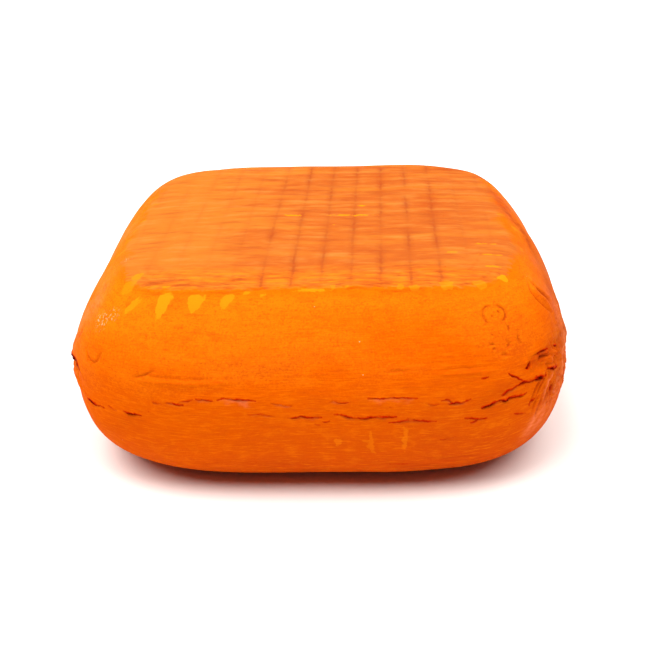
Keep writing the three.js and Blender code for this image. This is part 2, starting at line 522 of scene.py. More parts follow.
def select_only(mesh, kind, chosen):
    """Selects the chosen edges or faces, and nothing else, ready for edit mode."""
    for name in ("vertices", "edges", "polygons"):
        items = getattr(mesh, name)
        wanted = chosen if name == kind else np.zeros(len(items), bool)
        items.foreach_set("select", wanted)
    bpy.context.tool_settings.mesh_select_mode = (False, kind == "edges", kind == "polygons")


def cut_along(thing, axis, pieces):
    """Cuts every edge that runs along an axis into that many pieces."""
    mesh = thing.data
    places = read_vectors(mesh.vertices, "co")
    ends = np.empty(len(mesh.edges) * 2, np.int32)
    mesh.edges.foreach_get("vertices", ends)
    ends = ends.reshape(-1, 2)
    runs = np.abs(places[ends[:, 1]] - places[ends[:, 0]])
    select_only(mesh, "edges", runs.argmax(axis=1) == axis)
    bpy.ops.object.mode_set(mode="EDIT")
    bpy.ops.mesh.subdivide(number_cuts=pieces - 1)
    bpy.ops.object.mode_set(mode="OBJECT")


def meshed_block(low, high):
    """A block of the cheese's size, cut into squares."""
    deselect_all()
    size = high - low
    bpy.ops.mesh.primitive_cube_add(size=1, location=(low + high) / 2, scale=size)
    block = bpy.context.active_object
    bpy.ops.object.transform_apply(location=True, rotation=True, scale=True)
    for axis in range(3):
        cut_along(block, axis, round(size[axis] / SQUARE))
    return block


def wrap(thing, guide):
    """Lays every point on the nearest place of the guide's skin."""
    apply_modifier(thing, "SHRINKWRAP", target=guide, wrap_method="NEAREST_SURFACEPOINT")


def halve_squares(thing, chosen):
    """Halves the chosen squares both ways."""
    make_active(thing)
    select_only(thing.data, "polygons", chosen)
    bpy.ops.object.mode_set(mode="EDIT")
    bpy.ops.mesh.subdivide(number_cuts=1, ngon=False)
    bpy.ops.object.mode_set(mode="OBJECT")


# ---------------------------------------------------------------------------------------------
# Places and routes on the skin, in millimetres


def bearings_of(places):
    """Each place's bearing from the front, in degrees, growing to the right."""
    return np.degrees(np.arctan2(places[:, 0], -places[:, 1]))


def crumple_distance(places, mark):
    """How far each place lies from a crumple's middle, as a share of the crumple's reach."""
    angle = (bearings_of(places) - mark.bearing) / mark.half_angle
    return np.hypot(angle, (places[:, 2] - mark.height) / mark.half_height)


class Skin:
    """The guide's skin: where a bearing and a height, or a spot on the top, lie on it."""

    def __init__(self, guide):
        self.tree = BVHTree.FromObject(guide, bpy.context.evaluated_depsgraph_get())

    def on_wall(self, bearing, height):
        """The place and the outward normal of the wall at a bearing and a height."""
        turn = math.radians(bearing)
        outward = Vector((math.sin(turn), -math.cos(turn), 0))
        return self.found(Vector((0, 0, height * MM)), outward)

    def on_top(self, x, y):
        """The place and the outward normal of the top at a spot."""
        return self.found(Vector((x * MM, y * MM, 50 * MM)), Vector((0, 0, 1)))

    def found(self, start, direction):
        place, normal, _, _ = self.tree.ray_cast(start, direction)
        return np.array(place) / MM, np.array(normal)


def smooth_line(corners, scale):
    """A smooth line through the corners, in steps of about Route.STEP. The scale is the size
    in mm of one unit of each coordinate."""
    spots = np.array(corners, float)
    run = np.concatenate([[2 * spots[0] - spots[1]], spots, [2 * spots[-1] - spots[-2]]])
    line = []
    for a, b, c, d in zip(run, run[1:], run[2:], run[3:]):
        count = max(1, round(float(np.linalg.norm((c - b) * scale)) / Route.STEP))
        for t in np.arange(count) / count:
            bend = t * (2 * a - 5 * b + 4 * c - d + t * (3 * (b - c) + d - a))
            line.append(b + 0.5 * t * (c - a + bend))
    return line + [spots[-1]]


class Route:
    """A line on the skin: its points, and the direction across it at each of its steps."""

    STEP = 0.5  # mm

    def __init__(self, skin, mark):
        on_top = getattr(mark, "on_top", False)
        find = skin.on_top if on_top else skin.on_wall
        scale = (1, 1) if on_top else (MM_PER_DEGREE, 1)
        found = [find(*spot) for spot in smooth_line(mark.route, scale)]
        self.places = np.array([place for place, _ in found])
        normals = np.array([normal for _, normal in found])
        self.start = self.places[:-1]
        self.run = self.places[1:] - self.places[:-1]
        self.length = np.linalg.norm(self.run, axis=1)
        across = np.cross(normals[:-1], self.run)
        self.across = across / np.linalg.norm(across, axis=1)[:, None]
        self.travelled = np.concatenate([[0], np.cumsum(self.length)])

    def near(self, points, reach):
        """The points within reach: which they are, how far across the route each stands
        (positive on its upper or left side), how far off it, its share of the way along, and
        the direction across the route there."""
        low = self.places.min(axis=0) - reach
        high = self.places.max(axis=0) + reach
        which = np.flatnonzero(np.all((points > low) & (points < high), axis=1))
        away = points[which, None, :] - self.start[None, :, :]
        along = np.clip((away * self.run).sum(2) / self.length**2, 0, 1)
        gap = away - along[:, :, None] * self.run
        distance = np.linalg.norm(gap, axis=2)
        step = distance.argmin(axis=1)
        row = np.arange(len(which))
        off = distance[row, step]
        across = self.across[step]
        side = (gap[row, step] * across).sum(1)
        share = (self.travelled[step] + along[row, step] * self.length[step]) / self.travelled[-1]
        keep = off < reach
        return which[keep], side[keep], off[keep], share[keep], across[keep]


# ---------------------------------------------------------------------------------------------
# The other walls' marks, drawn by chance like the front's


def chance_cracks(draw, middle):
    """Two broken rows of cracks along the belly of the wall around a bearing, which climb and
    sink on their way. The cracks' lengths and the gaps between them are in degrees."""
    cracks = []
    for row_height, spread, widest in CRACK_ROWS:
        bearing = middle - draw.uniform(38, 44)
        turn = draw.uniform(0, 360)
        while bearing < middle + 40:
            length = 1.8 + 12 * draw.random() ** 1.6
            row = row_height + ROW_SWAY * math.sin(math.radians(turn + 5 * bearing))
            height, climb = row + draw.uniform(-spread, spread), draw.uniform(-1.3, 1.3)
            turns = max(2, round(length / 1.8))
            route = tuple(
                (bearing + length * i / turns, height + climb * i / turns + draw.uniform(-0.6, 0.6))
                for i in range(turns + 1)
            )
            gap = widest * draw.uniform(0.4, 1.0) * min(1.0, length / 6 + 0.3)
            # The darkness of each gap, which is painted shade, is drawn by chance too.
            slope, dark = draw.uniform(0.5, 1.8), draw.uniform(0.2, 0.9)
            cracks.append(Crack(route, gap, slope, dark))
            bearing += length + 14 * draw.random() ** 2
    return cracks


def chance_folds(draw, corner):
    """Folds that the cloth pressed into a corner, fanning out from the belly."""
    folds = []
    for _ in range(FOLDS_AT_A_CORNER):
        bearing = corner + draw.uniform(-8, 8)
        height = draw.uniform(26, 60)
        lean = draw.uniform(-2.5, 2.5)
        reach = draw.uniform(4, 11)
        route = (
            (bearing, height),
            (bearing + lean * 0.6, height + reach * 0.5),
            (bearing + lean, height + reach),
        )
        depth, stain = draw.uniform(0.3, 0.9), draw.uniform(0.1, 0.5)
        width = draw.uniform(1.0, 2.0)
        folds.append(Fold(route, width, depth, stain))
    return folds


def chance_crease(draw):
    """A sharp crease that runs down the right wall from the crumpled corner."""
    bearing, top = draw.uniform(43, 60), draw.uniform(38, 45)
    foot = top - draw.uniform(5, 12)
    route = (
        (bearing, top),
        (bearing - draw.uniform(0.5, 1.6), 0.5 * (top + foot)),
        (bearing - draw.uniform(1.4, 3.0), foot),
    )
    width, depth, stain = draw.uniform(0.7, 1.1), draw.uniform(0.4, 0.8), draw.uniform(0.4, 0.8)
    return Fold(route, width, depth, stain)


def chance_patches(draw, middle):
    """A row of bare spots under the top's edge, with some left out."""
    patches = []
    for i in range(-4, 5):
        if draw.random() < 0.7:
            bearing = middle + i * SPOT_STEP + draw.uniform(-0.6, 0.6)
            height = draw.uniform(74.5, 78.0)
            half_width, half_length = draw.uniform(0.8, 2.3), draw.uniform(1.2, 3.8)
            lean, tone = draw.uniform(-0.3, 0.3), draw.uniform(0.15, 0.5)
            spot = (bearing, height)
            patches.append(Patch(spot, half_width, half_length, lean, taper=0.2, tone=tone))
    return patches


class Marks:
    """Every mark of the four walls and corners, with each route found on the skin."""

    def __init__(self, skin):
        draw = random.Random(CHANCE_SEED)
        cracks, folds = [], []
        self.patches = list(FRONT_PATCHES + TOP_FLECKS)
        self.crumples = list(FRONT_CRUMPLES)
        for middle in OTHER_WALLS:
            cracks += chance_cracks(draw, middle)
            self.patches += chance_patches(draw, middle)
        for _ in range(CREASES):
            folds.append(chance_crease(draw))
        for corner in OTHER_CORNERS:
            folds += chance_folds(draw, corner)
            height, depth = draw.uniform(40, 50), draw.uniform(0.5, 0.9)
            bearing = (corner + 180) % 360 - 180
            mark = Crumple(bearing, height, half_angle=11, half_height=13, depth=depth)
            self.crumples.append(mark)
        self.smears = self.routed(skin, SMEARS)
        self.front_cracks = self.routed(skin, FRONT_CRACKS)
        self.front_folds = self.routed(skin, FRONT_FOLDS)
        self.cracks = self.front_cracks + self.routed(skin, cracks)
        self.folds = self.front_folds + self.routed(skin, folds)

    @staticmethod
    def routed(skin, marks):
        """Each mark with its route on the skin."""
        return [(mark, Route(skin, mark)) for mark in marks]


class Nearness:
    """Tells how far a place is from the nearest of some routes."""

    def __init__(self, pairs):
        spots = [place for _, route in pairs for place in route.places]
        self.tree = KDTree(len(spots))
        for i, place in enumerate(spots):
            self.tree.insert(place, i)
        self.tree.balance()

    def distances(self, places):
        return np.array([self.tree.find(place)[2] for place in places])


# ---------------------------------------------------------------------------------------------
# The relief of the rind


# What the rind's colour needs to know at each point, and what it is where there is no mark.
MASKS = {
    "crack": 10.0,  # mm outside the gap, laid dark as painted shade, of the nearest crack, negative inside
    "dark": 0.0,  # how dark that gap is laid: painted shade
    "torn": 0.0,  # how plainly the torn slope shows, and the painted sheen and highlights
    "stain": 0.0,  # dark oil, and the painted shade in grooves, creases and beside the plate's front ridges
    "patch": 10.0,  # mm outside the nearest bare spot, negative inside
    "tone": 0.0,  # how plain that spot is
    "bloom": 0.0,  # white specks
    "wires": 0.0,  # how plainly the nearest wire that runs front to back shows
    "cross": 0.0,  # the same for the wires that run across
    "plate": 0.0,  # mm outside the plate, negative inside
}


class Relief:
    """The cheese's points in millimetres while they are moved, and the masks for its colour."""

    FLAT_BELOW = 0.3  # mm, the height under which a point belongs to the base

    def __init__(self, mesh, form):
        self.form = form
        self.rest = read_vectors(mesh.vertices, "co") / MM
        self.normals = read_vectors(mesh.vertices, "normal")
        self.moved = self.rest.copy()
        self.height = self.rest[:, 2]
        self.free = rounded_step(0.6, 5, self.height)  # the base stays flat
        self.masks = {name: np.full(len(self.rest), value) for name, value in MASKS.items()}
        far_off = 2 * (PLATE_LOWEST - self.height) + 8
        high = self.height > PLATE_LOWEST
        self.masks["plate"] = np.where(high, plate_distance(self.rest), far_off)

    def push(self, which, out):
        """Moves points along their normals by that many millimetres."""
        self.moved[which] += self.normals[which] * out[:, None]

    def raise_mask(self, name, which, values):
        self.masks[name][which] = np.maximum(self.masks[name][which], values)

    def wander(self, sizes, rise, seed):
        """Slow rises and falls over the whole skin."""
        lift = lumps(self.rest, sizes, seed) * rise * self.free
        self.moved += self.normals * lift[:, None]

    def swell_out(self, swell, skin):
        """A broad, soft rise of the wall."""
        centre, _ = skin.on_wall(swell.bearing, swell.height)
        off = np.linalg.norm(self.rest - centre, axis=1)
        self.push(slice(None), swell.rise * bell(off, swell.reach) * self.free)

    def edge_plate(self):
        """The plate lies a little lower than the wall's shoulder, behind a few torn ridges that
        follow its front edge, each with a thin line of painted shade laid just outside it."""
        reach, sunk = 16, 0.25
        ridge_width, ridge_shade_width, ridge_shade_offset = 0.55, 0.4, 0.9
        near = np.flatnonzero(np.abs(self.masks["plate"]) < reach)
        spots, off = self.rest[near], self.masks["plate"][near]
        off += 2.2 * lumps(spots, (16, 30, 30), seed=2.0) + 0.8 * lumps(spots, 3.5, seed=6.0)
        x, y, z = spots.T
        front = rounded_step(-30, -60, y) * rounded_step(76, 78, z) * rounded_step(72, 60, np.abs(x))
        out = -sunk * rounded_step(0.5, -1.5, off)
        for i, (line, rise) in enumerate(FRONT_RIDGES):
            whole = rounded_step(-0.1, 0.15, lumps(spots, (13, 40, 40), seed=3.0 + 7 * i))
            out += rise * front * whole * bell(off - line, ridge_width)
            # Painted shade: a dark line laid just outside the ridge, with no groove carved there.
            ridge_shade = front * whole * bell(off - line - ridge_shade_offset, ridge_shade_width)
            self.raise_mask("stain", near, 0.3 * ridge_shade * (1 if i else 1.6))
        self.push(near, out)

    def score_plate(self):
        """The scores of the rack's wires, both ways, broken where the cheese stood off them."""
        x, y, _ = self.rest.T
        inside = rounded_step(1.5, -2.5, self.masks["plate"]) * (self.height > PLATE_LOWEST)
        ways = (("wires", x - RACK_SLOPE * y, y), ("cross", y + RACK_SLOPE * x, x))
        pitch = self.form.rack_pitch / MM
        for (name, over, along), offset in zip(ways, RACK_OFFSET):
            # Each wire has its own row of the noise, so that it shows in stretches of its own.
            wire = np.round((over - offset) / pitch)
            off = over - offset - wire * pitch
            stretches = np.stack([wire * 3.7, along / 20, 0 * x], 1)
            seen = np.clip(0.7 + 1.1 * lumps(stretches, 1.0, seed=0.0), 0, 1)
            if name == "wires":
                first, last = PLAIN_WIRES
                seen *= np.where((wire >= first) & (wire <= last), 1, 0.3)
            else:
                seen *= rounded_step(-14, 2, y) * rounded_step(-30, -8, x)
            self.masks[name] = seen * inside
            groove = bell(off, SCORE_HALF_WIDTH) * self.masks[name]
            self.push(slice(None), -self.form.rack_depth / MM * groove)

    def crumple(self, mark):
        """Lumps, and sharp creases between them that run down the corner."""
        off = crumple_distance(self.rest, mark)
        which = np.flatnonzero(off < 1)
        part = rounded_step(1.0, 0.45, off[which])
        spots = self.rest[which]
        along = bearings_of(spots) * MM_PER_DEGREE
        height = self.height[which]
        down = np.stack([along + 0.25 * height, 0.28 * height, 0 * height], 1)
        level = np.stack([0.3 * along, height + 0.35 * along, 0 * height], 1)
        out = 0.9 * lumps(spots, 5.5, seed=2.7) + 0.5 * lumps(spots, 2.4, seed=9.1)
        creases = ((down, 3.6, 0.7), (level, 4.2, 0.45))  # the field, its lumps in mm, the share
        for field, size, share in creases:
            crease = bell(lumps(field, size, seed=mark.bearing), 0.09)
            crease *= rounded_step(-0.15, 0.2, lumps(spots, 6, seed=5.5 * share))
            out -= share * crease
            # Painted shade in part: the creases are laid dark.
            self.raise_mask("stain", which, 0.4 * share * crease * part)
        self.push(which, mark.depth * part * out)

    def press_fold(self, fold, route):
        """A soft groove with a low shoulder on both sides, or only its stain."""
        which, _, off, share, _ = route.near(self.rest, fold.width * 2.5 + 1)
        spots = self.rest[which]
        off = np.abs(off + 0.35 * fold.width * lumps(spots, 2 * fold.width, seed=1.1))
        strength = np.sin(np.pi * np.clip(share, 0.02, 0.98)) ** 0.6
        strength *= 1 + 0.5 * lumps(spots, 3, seed=7.7)
        groove = bell(off, 0.5 * fold.width)
        shoulder = bell(off - 1.2 * fold.width, 0.6 * fold.width)
        self.push(which, fold.depth * strength * (0.3 * shoulder - groove))
        # A groove is laid dark, partly as painted shade; a negative stain lays it pale, as painted
        # sheen.
        mask = "stain" if fold.stain > 0 else "torn"
        self.raise_mask(mask, which, abs(fold.stain) * groove * strength)

    def open_crack(self, crack, route):
        """The upper lip hangs over a ragged gap, and the slope below rises back to the rind."""
        reach = crack.gap + crack.slope + 2.5
        which, side, _, share, across = route.near(self.rest, reach)
        spots = self.rest[which]
        side = side + 0.4 * lumps(spots, 2.2, seed=3.3) + 0.2 * lumps(spots, 0.8, seed=5.0)
        ends = np.clip(np.sin(np.pi * share) * 1.35, 0, 1)
        opening = ends * np.clip(0.85 + 0.9 * lumps(spots, 3.2, seed=9.0), 0.4, 1.2)
        half = 0.5 * crack.gap * opening
        outside = np.abs(side) - half
        nearer = (outside < self.masks["crack"][which]) & (ends > 0.12)
        self.masks["crack"][which[nearer]] = outside[nearer]
        # Painted shade in the gap: as dark as the crack is listed, and uneven along it.
        shade = crack.dark * np.clip(0.9 + 1.2 * lumps(spots, 3.5, seed=12.0), 0.35, 1.1)
        self.masks["dark"][which[nearer]] = shade[nearer]
        above = side > 0
        lip = above * bell(side, 1.6) * crack.gap * opening
        below = np.clip(-side / (crack.slope * opening + 0.4), 0, 1)
        deep = self.form.crack_depth * crack.gap * (0.4 + 0.6 * crack.dark)
        sunk = ~above * deep * opening * (1 - below) ** 1.5
        self.push(which, 0.3 * lip - sunk)
        self.moved[which] -= across * (0.3 * lip)[:, None]
        pale = (side < -half) * (1 - below) * opening * min(1, crack.slope / 2)
        self.raise_mask("torn", which, pale)

    def mark_patch(self, patch, skin):
        """Each point's distance in mm outside the bare spot's outline, negative inside."""
        centre, normal = (skin.on_top if patch.on_top else skin.on_wall)(*patch.spot)
        uphill = (0, 1, 0) if patch.on_top else (0, 0, 1)
        right = np.cross(uphill, normal)
        right /= np.linalg.norm(right)
        up = np.cross(normal, right)
        reach = 3 * max(patch.half_width, patch.half_length) + 3
        which = np.flatnonzero(np.linalg.norm(self.rest - centre, axis=1) < reach)
        away = self.rest[which] - centre
        along = away @ up / patch.half_length
        side = away @ right - along * patch.half_length * patch.lean
        side /= patch.half_width * np.maximum(1 + patch.taper * along, 0.3)
        outline = (np.abs(side) ** 4 + np.abs(along) ** 4) ** 0.25
        outside = (outline - 1) * min(patch.half_width, patch.half_length)
        nearer = outside < self.masks["patch"][which]
        self.masks["patch"][which[nearer]] = outside[nearer]
        self.masks["tone"][which[nearer]] = patch.tone

    def bloom(self, skin):
        """White specks on the left shoulder, in a slanting cloud."""
        for spot, reach in BLOOM_CLOUDS:
            centre, _ = skin.on_wall(*spot)
            off = np.linalg.norm(self.rest - centre, axis=1)
            self.raise_mask("bloom", slice(None), rounded_step(reach, reach * 0.3, off))

    def settle(self):
        """Nothing goes below the base, and the base stays flat."""
        self.moved[:, 2] = np.maximum(self.moved[:, 2], 0)
        flat = self.height < self.FLAT_BELOW
        self.moved[flat, :2] = self.rest[flat, :2]
        self.moved[flat, 2] = 0


def carve(cheese, skin, marks, form):
    """Moves the cheese's points by every mark, and keeps the masks for its colour."""
    relief = Relief(cheese.data, form)
    unevenness = form.swell / MM
    relief.wander(70, unevenness * 1.2, seed=3.1)
    relief.wander(24, unevenness * 0.6, seed=8.4)
    relief.wander((16, 16, 5), unevenness * 0.2, seed=1.7)
    for swell in SWELLS:
        relief.swell_out(swell, skin)
    relief.edge_plate()
    relief.score_plate()
    for mark in marks.crumples:
        relief.crumple(mark)
    for fold, route in marks.folds + marks.smears:
        relief.press_fold(fold, route)
    for crack, route in marks.cracks:
        relief.open_crack(crack, route)
    for patch in marks.patches:
        relief.mark_patch(patch, skin)
    relief.bloom(skin)
    relief.settle()
    mesh = cheese.data
    mesh.vertices.foreach_set("co", (relief.moved * MM).astype(np.float32).ravel())
    for name, values in relief.masks.items():
        layer = mesh.attributes.new(name, "FLOAT", "POINT")
        layer.data.foreach_set("value", values.astype(np.float32))
    mesh.update()


# ---------------------------------------------------------------------------------------------
# The rind's finish

# The kinds of node that the finishes use: each one's type, its settings, the inputs that are
# given to it, in order, and the output that is taken from it.
PLACE = ("ShaderNodeTexCoord", {}, (), "Object")
DIRECTION = ("ShaderNodeTexCoord", {}, (), "Generated")
RESIZE = ("ShaderNodeMapping", {}, ("Vector", "Scale"), "Vector")
TURN = ("ShaderNodeMapping", {}, ("Vector", "Location", "Rotation"), "Vector")
NOISE = ("ShaderNodeTexNoise", {}, ("Vector", "Scale", "Detail", "Roughness"), "Fac")
SWIRL = ("ShaderNodeTexNoise", {}, ("Vector", "Scale", "Detail"), "Color")
DOTS = ("ShaderNodeTexVoronoi", {}, ("Vector", "Scale"), "Distance")
MIX = ("ShaderNodeMix", {"data_type": "RGBA"}, ("Factor_Float", "A_Color", "B_Color"), "Result_Color")
BLEND = ("ShaderNodeMix", {}, ("Factor_Float", "A_Float", "B_Float"), "Result_Float")
STEP = (
    "ShaderNodeMapRange", {"interpolation_type": "SMOOTHSTEP"},
    ("Value", "From Min", "From Max", "To Min", "To Max"), "Result",
)
PRODUCT = ("ShaderNodeMath", {"operation": "MULTIPLY"}, ("Value", "Value_001"), "Value")
SUM = ("ShaderNodeMath", {"operation": "ADD"}, ("Value", "Value_001"), "Value")
TO_AND_FRO = ("ShaderNodeMath", {"operation": "PINGPONG"}, ("Value", "Value_001"), "Value")
SHIFT = (
    "ShaderNodeVectorMath", {"operation": "MULTIPLY_ADD"},
    ("Vector", "Vector_001", "Vector_002"), "Vector",
)
BUMP = ("ShaderNodeBump", {}, ("Strength", "Distance", "Height"), "Normal")
CAMERA_SEES = ("ShaderNodeLightPath", {}, (), "Is Camera Ray")
AXES = {axis: ("ShaderNodeSeparateXYZ", {}, ("Vector",), axis) for axis in "XYZ"}
MASK = {name: ("ShaderNodeAttribute", {"attribute_name": name}, (), "Fac") for name in MASKS}
RAMP = ("ShaderNodeMapRange", {}, STEP[2], "Result")

# Most of a noise's values lie in this span, with its lighter and its darker spots towards the
# two ends.
SPAN = (0.3, 0.7)
LIGHTER = (0.5, 0.75)
DARKER = (0.5, 0.25)

# How the rind takes light: hardly any gloss at a flat angle, and a little light inside it.
RIND_FINISH = {
    "IOR": 1.45,
    "Specular IOR Level": 0.002,
    "Subsurface Weight": 0.12,
    "Subsurface Radius": (1.0, 0.3, 0.08),
    "Subsurface Scale": 3 * MM,
}
CARD_FINISH = {
    "Base Color": linear("#F7F3EE"),
    "Roughness": 0.9,
    "Specular IOR Level": 0.1,
}


def add(tree, recipe, *values):
    """Adds a node by its recipe, its inputs as values or as links from others' outputs, and
    returns the output that the recipe names."""
    kind, settings, inputs, output = recipe
    made = tree.nodes.new(kind)
    for name, value in settings.items():
        setattr(made, name, value)
    sockets = {socket.identifier: socket for socket in made.inputs}
    for name, value in zip(inputs, values):
        if isinstance(value, bpy.types.NodeSocket):
            tree.links.new(value, sockets[name])
        else:
            sockets[name].default_value = value
    return next(socket for socket in made.outputs if socket.identifier == output)


def grain(tree, place, sizes, detail=4.0, roughness=0.55):
    """Noise around 0.5 whose spots have these sizes in mm along X, Y and Z."""
    spot = add(tree, RESIZE, place, tuple(1 / (size * MM) for size in sizes))
    return add(tree, NOISE, spot, 1.0, detail, roughness)


def specks(tree, place, spacing, size, seed):
    """1 in scattered round dots of that size in mm, and 0 between them."""
    moved = add(tree, TURN, place, (seed, seed, seed), (0, 0, 0))
    distance = add(tree, DOTS, moved, 1 / (spacing * MM))
    return add(tree, STEP, distance, 0.4 * size / spacing, 0.6 * size / spacing, 1.0, 0.0)


def layered(tree, colour, layers, where=None):
    """Lays colours over a colour, in order. Each layer has what it follows, at which value that
    starts, at which it is strongest, how strong that is, and its own colour. The layers may be
    kept to where a mask is 1."""
    for follows, start, full, most, laid in layers:
        share = add(tree, STEP, follows, start, full, 0, most)
        if where is not None:
            share = add(tree, PRODUCT, share, where)
        colour = add(tree, MIX, share, colour, laid)
    return colour


def wall_finish(tree, place, colours):
    """The wall's colour and relief: rubbed along by hand, with the oil lying thicker low down, and
    with painted light: lighter towards the shoulder and on the left, darker towards the foot and on
    the right.
    """
    wall, shoulder = tuple(colours.wall), tuple(colours.shoulder)
    foot, smear = tuple(colours.foot), tuple(colours.smear)
    swirl = add(tree, SWIRL, place, 1 / (75 * MM), 2.0)
    rubbed = add(tree, SHIFT, swirl, (0, 0, 9 * MM), place)
    mottle = grain(tree, rubbed, (34, 34, 15), 5)
    brush = grain(tree, rubbed, (15, 15, 1.1), 5, 0.65)
    hair = grain(tree, rubbed, (5, 5, 0.5), 3)
    pores = grain(tree, place, (0.8, 0.8, 0.7), 3, 0.7)
    cloud = grain(tree, place, (6, 6, 3.5), 4, 0.6)
    across, up = (add(tree, AXES[axis], place) for axis in "XZ")
    height = add(tree, SUM, up, add(tree, STEP, mottle, *SPAN, -7 * MM, 7 * MM))
    # Painted light and shade: the bands are moved up on the left and down on the right, so the left
    # is laid lighter and yellower and the right darker and redder.
    height = add(tree, SUM, height, add(tree, STEP, across, 75 * MM, -75 * MM, -6 * MM, 8 * MM))
    # Yellower and lighter up the shoulder, redder and darker down to the foot: partly the rind's
    # tone, partly painted light from above.
    colour = layered(tree, foot, (
        (height, 6 * MM, 46 * MM, 1, wall),
        (height, 50 * MM, 77 * MM, 1, shoulder),
        (mottle, *LIGHTER, 0.5, foot),
        (brush, 0.45, 0.75, 0.25, foot),
        (hair, *LIGHTER, 0.55, shoulder),
        (hair, *DARKER, 0.55, foot),
    ))
    dusty = add(tree, STEP, height, 44 * MM, 68 * MM, 0.15, 1.0)
    dust = ((pores, 0.48, 0.7, 0.8, foot), (pores, 0.5, 0.3, 0.9, shoulder))
    colour = layered(tree, colour, dust, dusty)
    colour = layered(tree, colour, (
        (cloud, *LIGHTER, 0.35, foot),
        (cloud, *DARKER, 0.35, shoulder),
        (up, 74.5 * MM, 78.5 * MM, 0.55, wall),
    ))
    # Painted shade: the right wall is laid darker and browner towards its side, broken by the mottle
    # and weaker low down.
    right_shade_share = add(tree, STEP, mottle, *SPAN, 0.5, 1)
    right_shade_share = add(tree, PRODUCT, right_shade_share, add(tree, STEP, height, 26 * MM, 46 * MM, 0.4, 1))
    right_side_shade = (across, 80 * MM, 97 * MM, 0.7, tuple(colours.right_side_shade))
    colour = layered(tree, colour, (right_side_shade,), right_shade_share)
    low = add(tree, STEP, height, 16 * MM, 4 * MM, 0, 1)
    colour = layered(tree, colour, ((brush, 0.4, 0.7, 0.5, smear),), low)
    relief = add(tree, SUM, brush, add(tree, PRODUCT, pores, 0.5))
    return colour, relief


def plate_finish(tree, place, masks, colours, form):
    """The top's colour and relief: a pinkish, matt tint that holds a painted pale sheen, streaked
    from left to right with painted highlights on the streaks' ridges and painted shade in their
    hollows, and with the brown scores of the rack's wires."""
    dry, wire, bare = tuple(colours.dry), tuple(colours.wire), tuple(colours.bare)
    swirl = add(tree, SWIRL, place, 1 / (60 * MM), 2.0)
    rubbed = add(tree, SHIFT, swirl, (0, 9 * MM, 0), place)
    clouds = grain(tree, rubbed, (42, 9, 42), 5)
    streaks = grain(tree, rubbed, (17, 3.4, 17), 3, 0.55)
    threads = grain(tree, rubbed, (5, 1.3, 5), 3)
    ridges = grain(tree, rubbed, (12, 2.0, 12), 3)
    across, back = (add(tree, AXES[axis], place) for axis in "XY")
    oiled = add(tree, SUM, clouds, add(tree, STEP, across, 0.0, -70 * MM, -0.04, 0.25))
    # The pinkish base is the rind with a painted sheen; the amber is laid over it where the oil
    # shows.
    colour = layered(tree, tuple(colours.top_with_painted_sheen), (
        (oiled, 0.42, 0.66, 1, tuple(colours.amber)),
        # Painted highlights and shade: the streaks and threads also make the bump, and are laid paler
        # where it rises and browner where it sinks.
        (streaks, 0.48, 0.75, 0.65, dry),
        (streaks, 0.48, 0.25, 0.45, wire),
        (threads, 0.5, 0.75, 0.2, dry),
        (threads, 0.48, 0.25, 0.14, wire),
        (back, -52 * MM, -66 * MM, 0.35, tuple(colours.shoulder)),
    ))
    # Painted highlights and shade along the front edge: pale on the high values of the threads and of
    # a ridge noise, brown on their low ones.
    front = add(tree, STEP, back, -52 * MM, -66 * MM, 0, 1)
    for span, most, laid in (((0.52, 0.68), 0.3, bare), ((0.48, 0.32), 0.5, wire)):
        lines = [(line, *span, most, laid) for line in (threads, ridges)]
        colour = layered(tree, colour, lines, front)
    colour = wire_scores(tree, colour, place, masks, streaks, form, (wire, dry))
    return colour, add(tree, SUM, streaks, add(tree, PRODUCT, threads, 0.5))


def wire_scores(tree, colour, place, masks, streaks, form, stains):
    """Lays the stain of each way of the rack's wires over a colour: a soft band, with a thin
    score in its middle, and both frayed by the streaks."""
    frayed = add(tree, STEP, streaks, 0.3, 0.6, 0.4, 1.0)
    wobble = add(tree, STEP, grain(tree, place, (5, 5, 5), 3), *SPAN, -0.3 * MM, 0.3 * MM)
    half_pitch = form.rack_pitch / 2
    ways = (("wires", "X", 3.0, 0.4, 0.3), ("cross", "Y", 2.6, 0.35, 0.1))
    for (mask, axis, half_width, band, core), offset, stain in zip(ways, RACK_OFFSET, stains):
        shift = tuple(-offset * MM if name == axis else 0 for name in "XYZ")
        turned = add(tree, TURN, place, shift, (0, 0, math.atan(RACK_SLOPE)))
        spot = add(tree, SUM, add(tree, AXES[axis], turned), wobble)
        off = add(tree, TO_AND_FRO, spot, half_pitch)
        halo = add(tree, STEP, off, half_width * MM, 0.2 * MM, 0.0, band)
        score = add(tree, STEP, off, 0.9 * MM, 0.1 * MM, 0.0, core)
        seen = add(tree, PRODUCT, add(tree, SUM, halo, score), masks[mask])
        colour = add(tree, MIX, add(tree, PRODUCT, seen, frayed), colour, stain)
    return colour


